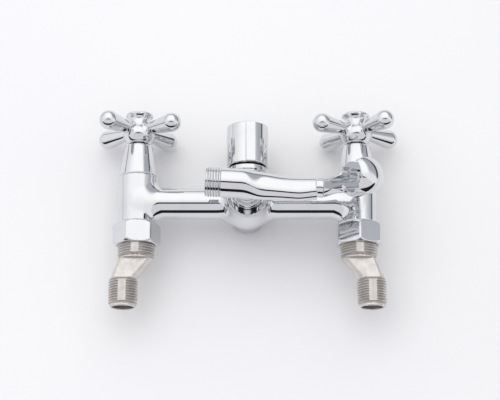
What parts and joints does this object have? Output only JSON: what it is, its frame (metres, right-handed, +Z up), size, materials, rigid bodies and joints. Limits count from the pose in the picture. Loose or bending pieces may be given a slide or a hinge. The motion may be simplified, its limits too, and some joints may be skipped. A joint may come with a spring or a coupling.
{
  "type": "bath mixer",
  "caption": "Wall mounted two handle bath and shower mixer with cross handles, a diverter knob, a swivelling hose elbow and a hand shower holder.",
  "frame": {"origin": "centre of the mouth of the lower outlet", "axes": "+X towards the hot inlet, +Y from the wall to the user, +Z up; the lower outlet points along -Z"},
  "size_m": [0.2212, 0.1432, 0.1037],
  "materials": {
    "chrome": "polished chrome plate on brass",
    "cast_nickel": "satin nickel on cast brass, slightly rough",
    "brass": "machined",
    "steel": "plain stainless",
    "rubber": "moulded",
    "sealing_ring": "turned sealing ring",
    "white_plastic": "moulded",
    "hot_mark": "moulded, plain",
    "cold_mark": "moulded, plain"
  },
  "bodies": {
    "mixer_body": {"body_casting": "chrome", "diverter_headwork": "brass", "diverter_collar": "chrome", "elbow_bush": "chrome", "outlet_straightener": "white_plastic", "cold_eccentric_union": "cast_nickel", "cold_union_nut": "chrome", "cold_union_washer": "rubber", "cold_inlet_tail": "brass", "cold_inlet_strainer": "steel", "cold_headwork": "brass", "cold_packing": "sealing_ring", "cold_gland_nut": "brass", "cold_bonnet": "chrome", "hot_eccentric_union": "cast_nickel", "hot_union_nut": "chrome", "hot_union_washer": "rubber", "hot_inlet_tail": "brass", "hot_inlet_strainer": "steel", "hot_headwork": "brass", "hot_packing": "sealing_ring", "hot_gland_nut": "brass", "hot_bonnet": "chrome"},
    "cold_valve": {"cold_jumper": "brass", "cold_jumper_washer": "rubber"},
    "cold_cross_handle": {"cold_spindle": "brass", "cold_handle": "chrome", "cold_handle_screw": "steel", "cold_index_cap": "cold_mark"},
    "hot_valve": {"hot_jumper": "brass", "hot_jumper_washer": "rubber"},
    "hot_cross_handle": {"hot_spindle": "brass", "hot_handle": "chrome", "hot_handle_screw": "steel", "hot_index_cap": "hot_mark"},
    "diverter": {"diverter_drum": "brass", "diverter_o_rings": "rubber", "diverter_knob": "chrome", "knob_screw": "steel", "knob_cap": "chrome"},
    "elbow": {"shower_elbow": "chrome", "elbow_o_rings": "rubber", "elbow_clip": "steel", "holder_grub_screw": "steel"},
    "holder": {"handset_holder": "chrome", "holder_o_ring": "rubber"}
  },
  "joints": [
    {"name": "cold_valve_rise", "type": "slide", "parent": "mixer_body", "child": "cold_valve", "axis": [0, 1, 0], "range_m": [0, 0.0032]},
    {"name": "cold_handle_turn", "type": "hinge", "parent": "cold_valve", "child": "cold_cross_handle", "pos_m": [-0.07875, 0, 0.036], "axis": [0, 1, 0], "range_deg": [0, 450]},
    {"name": "hot_valve_rise", "type": "slide", "parent": "mixer_body", "child": "hot_valve", "axis": [0, 1, 0], "range_m": [0, 0.0032]},
    {"name": "hot_handle_turn", "type": "hinge", "parent": "hot_valve", "child": "hot_cross_handle", "pos_m": [0.07875, 0, 0.036], "axis": [0, 1, 0], "range_deg": [0, 450]},
    {"name": "diverter_turn", "type": "hinge", "parent": "mixer_body", "child": "diverter", "pos_m": [0, 0, 0.036], "axis": [0, 1, 0], "range_deg": [0, 180]},
    {"name": "elbow_swivel", "type": "hinge", "parent": "mixer_body", "child": "elbow", "pos_m": [0, 0, 0.036], "axis": [0, 0, 1], "range_deg": [-30, 213]},
    {"name": "holder_tilt", "type": "hinge", "parent": "elbow", "child": "holder", "pos_m": [0.05181, -0.00299, 0.0845], "axis": [0.9983, -0.0576, 0], "range_deg": [-60, 90]}
  ],
  "couplings": [
    {"joint": "cold_valve_rise", "follows": "cold_handle_turn", "m_per_rad": 0.00039789},
    {"joint": "hot_valve_rise", "follows": "hot_handle_turn", "m_per_rad": 0.00039789}
  ]
}
